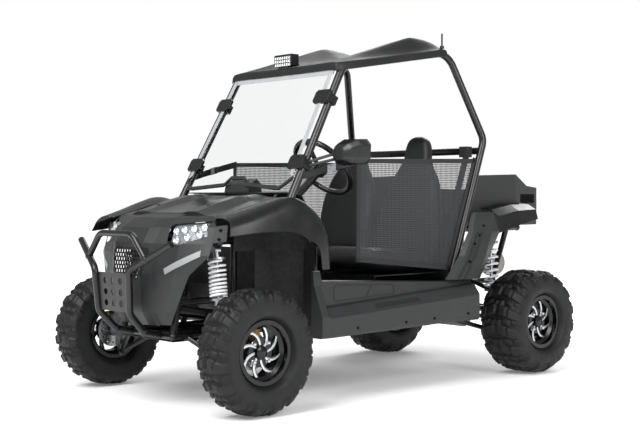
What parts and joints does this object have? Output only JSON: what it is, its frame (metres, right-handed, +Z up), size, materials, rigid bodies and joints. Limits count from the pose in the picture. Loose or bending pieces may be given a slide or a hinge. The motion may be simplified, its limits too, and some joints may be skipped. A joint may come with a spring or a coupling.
{
  "type": "utility vehicle",
  "caption": "Two-seat utility vehicle with roll cage, ridged roof, clear windscreen, side nets, cargo tray, coil-over double-arm suspension and steered knobbly tyres.",
  "frame": {"origin": "on the ground, under the middle of the overall length and width", "axes": "+X forward, +Y to the vehicle's left, +Z up"},
  "size_m": [2.5975, 1.375, 1.78],
  "materials": {
    "satin_black_steel": "satin",
    "black_grained_plastic": "grained",
    "black_smooth_plastic": "satin",
    "tyre_rubber": "matte",
    "trim_rubber": "matte",
    "black_alloy": "gloss",
    "cast_steel": "plain",
    "disc_steel": "brushed",
    "gold_anodised": "satin",
    "spring_white": "gloss",
    "damper_alloy": "satin",
    "floor_plate": "satin",
    "clear_screen": "clear",
    "lamp_lens": "clear",
    "tail_lens": "gloss",
    "seat_vinyl": "grained",
    "webbing": "woven",
    "silencer_steel": "brushed"
  },
  "bodies": {
    "chassis": {"main_frame": "satin_black_steel", "roll_cage": "satin_black_steel", "front_bumper": "satin_black_steel", "front_arms": "satin_black_steel", "rear_arms": "satin_black_steel", "hood": "black_grained_plastic", "nose_fascia": "black_grained_plastic", "side_fascias": "black_grained_plastic", "rocker_panels": "black_grained_plastic", "rear_side_panels": "black_grained_plastic", "tail_box": "black_grained_plastic", "dash": "black_grained_plastic", "seat_base": "black_grained_plastic", "seat_bulkhead": "black_grained_plastic", "front_fenders": "black_smooth_plastic", "rear_fenders": "black_smooth_plastic", "roof": "black_smooth_plastic", "wheel_well_liners": "black_smooth_plastic", "grille": "black_smooth_plastic", "windscreen_clamps": "black_smooth_plastic", "side_mirror": "black_smooth_plastic", "work_lamp": "black_smooth_plastic", "antenna": "black_smooth_plastic", "steering_column": "black_smooth_plastic", "windscreen_strip": "trim_rubber", "rear_hub_carriers": "cast_steel", "drive_shafts": "cast_steel", "engine": "cast_steel", "steering_rack": "cast_steel", "driver_controls": "cast_steel", "front_springs": "spring_white", "rear_springs": "spring_white", "front_dampers": "damper_alloy", "rear_dampers": "damper_alloy", "floor_pan": "floor_plate", "skid_plate": "floor_plate", "windscreen": "clear_screen", "headlamps": "lamp_lens", "tail_lamps": "tail_lens", "left_seat": "seat_vinyl", "right_seat": "seat_vinyl", "side_nets": "webbing", "seat_belts": "webbing", "silencer": "silencer_steel"},
    "front_left_knuckle": {"front_left_knuckle": "cast_steel", "front_left_caliper": "gold_anodised"},
    "front_right_knuckle": {"front_right_knuckle": "cast_steel", "front_right_caliper": "gold_anodised"},
    "front_left_wheel": {"front_left_tyre": "tyre_rubber", "front_left_rim": "black_alloy", "front_left_brake_disc": "disc_steel"},
    "front_right_wheel": {"front_right_tyre": "tyre_rubber", "front_right_rim": "black_alloy", "front_right_brake_disc": "disc_steel"},
    "rear_left_wheel": {"rear_left_tyre": "tyre_rubber", "rear_left_rim": "black_alloy"},
    "rear_right_wheel": {"rear_right_tyre": "tyre_rubber", "rear_right_rim": "black_alloy"},
    "tie_rod_bar": {"tie_rods": "cast_steel"},
    "steering_hand_wheel": {"steering_wheel": "trim_rubber"}
  },
  "joints": [
    {"name": "steer_left", "type": "hinge", "parent": "chassis", "child": "front_left_knuckle", "pos_m": [0.93, 0.4805, 0.276], "axis": [0, 0, 1], "range_deg": [-28, 28]},
    {"name": "steer_right", "type": "hinge", "parent": "chassis", "child": "front_right_knuckle", "pos_m": [0.93, -0.4805, 0.276], "axis": [0, 0, 1], "range_deg": [-28, 28]},
    {"name": "rack_slide", "type": "slide", "parent": "chassis", "child": "tie_rod_bar", "axis": [0, 1, 0], "range_m": [-0.0472, 0.0472]},
    {"name": "steering_wheel_turn", "type": "hinge", "parent": "chassis", "child": "steering_hand_wheel", "pos_m": [0.272, 0.25, 1.058], "axis": [-0.766, 0, 0.6428], "range_deg": [-253, 253]},
    {"name": "front_left_wheel_spin", "type": "hinge", "parent": "front_left_knuckle", "child": "front_left_wheel", "pos_m": [0.93, 0.5925, 0.276], "axis": [0, 1, 0], "continuous": true},
    {"name": "front_right_wheel_spin", "type": "hinge", "parent": "front_right_knuckle", "child": "front_right_wheel", "pos_m": [0.93, -0.5925, 0.276], "axis": [0, 1, 0], "continuous": true},
    {"name": "rear_left_wheel_spin", "type": "hinge", "parent": "chassis", "child": "rear_left_wheel", "pos_m": [-0.97, 0.5475, 0.276], "axis": [0, 1, 0], "continuous": true},
    {"name": "rear_right_wheel_spin", "type": "hinge", "parent": "chassis", "child": "rear_right_wheel", "pos_m": [-0.97, -0.5475, 0.276], "axis": [0, 1, 0], "continuous": true}
  ],
  "couplings": [
    {"joint": "steer_right", "follows": "steer_left", "ratio": 1},
    {"joint": "rack_slide", "follows": "steer_left", "m_per_rad": -0.096067},
    {"joint": "steering_wheel_turn", "follows": "steer_left", "ratio": 9}
  ]
}
